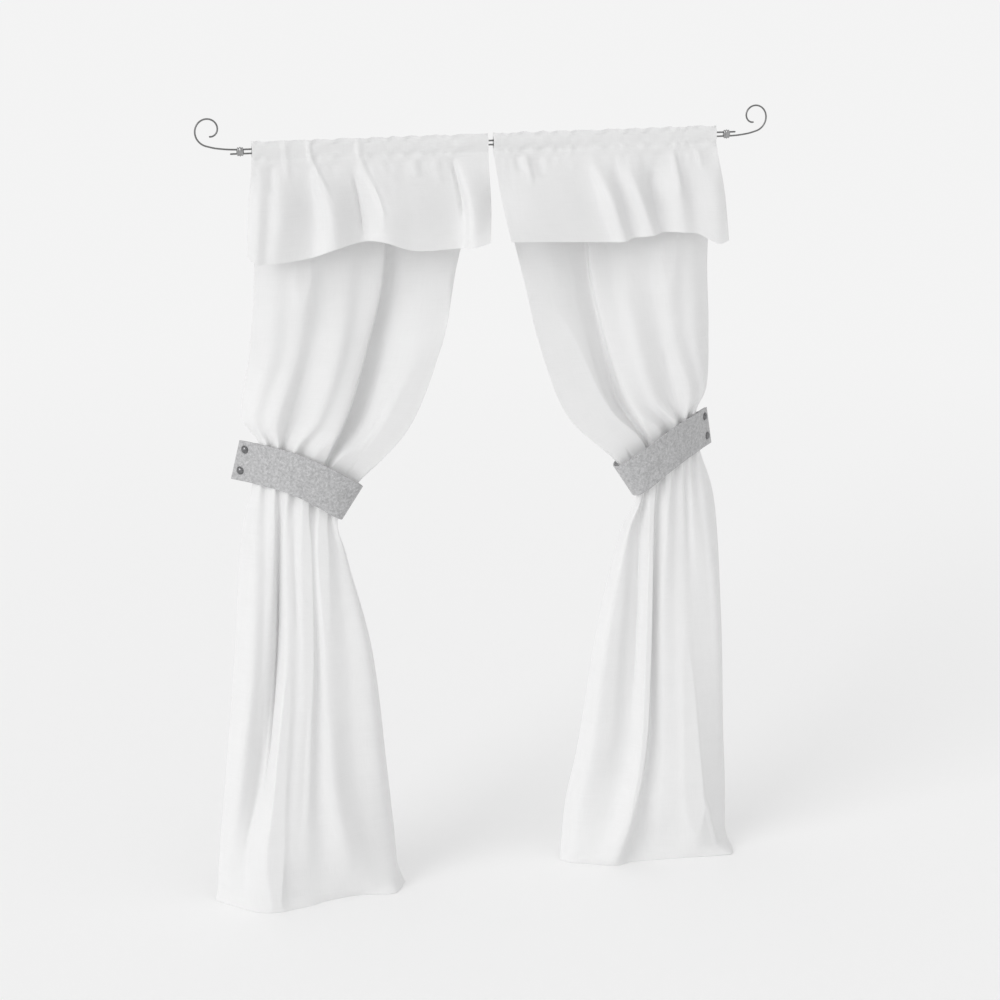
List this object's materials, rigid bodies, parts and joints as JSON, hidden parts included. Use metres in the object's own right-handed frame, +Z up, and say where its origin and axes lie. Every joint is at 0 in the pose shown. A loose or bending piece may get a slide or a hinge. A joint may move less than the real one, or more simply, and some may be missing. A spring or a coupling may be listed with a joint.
{
  "type": "pair of tied-back curtains with valances on a double wire curtain rod",
  "caption": "Long white cotton curtain panels with short valances, on a double wire rod with scroll ends, each held aside by a studded felt tieback.",
  "frame": {"origin": "the middle of the rod, halfway between its two wires", "axes": "+Z up, +X to the right along the rod as seen from the room, +Y from the room towards the window wall"},
  "size_m": [1.7482, 0.2685, 2.4979],
  "materials": {
    "cloth": "white plain-woven cotton, thin and matte",
    "felt": "mottled light grey wool felt",
    "wire": "dark grey steel, satin",
    "stud": "blackened domed metal, glossy"
  },
  "bodies": {
    "root": {"panel_left": "cloth", "panel_right": "cloth", "valance_left": "cloth", "valance_right": "cloth", "tieback_left": "felt", "tieback_right": "felt", "stud_left_upper": "stud", "stud_left_lower": "stud", "stud_right_upper": "stud", "stud_right_lower": "stud", "rod_upper": "wire", "rod_lower": "wire", "collar_left": "wire", "collar_right": "wire"}
  },
  "joints": []
}
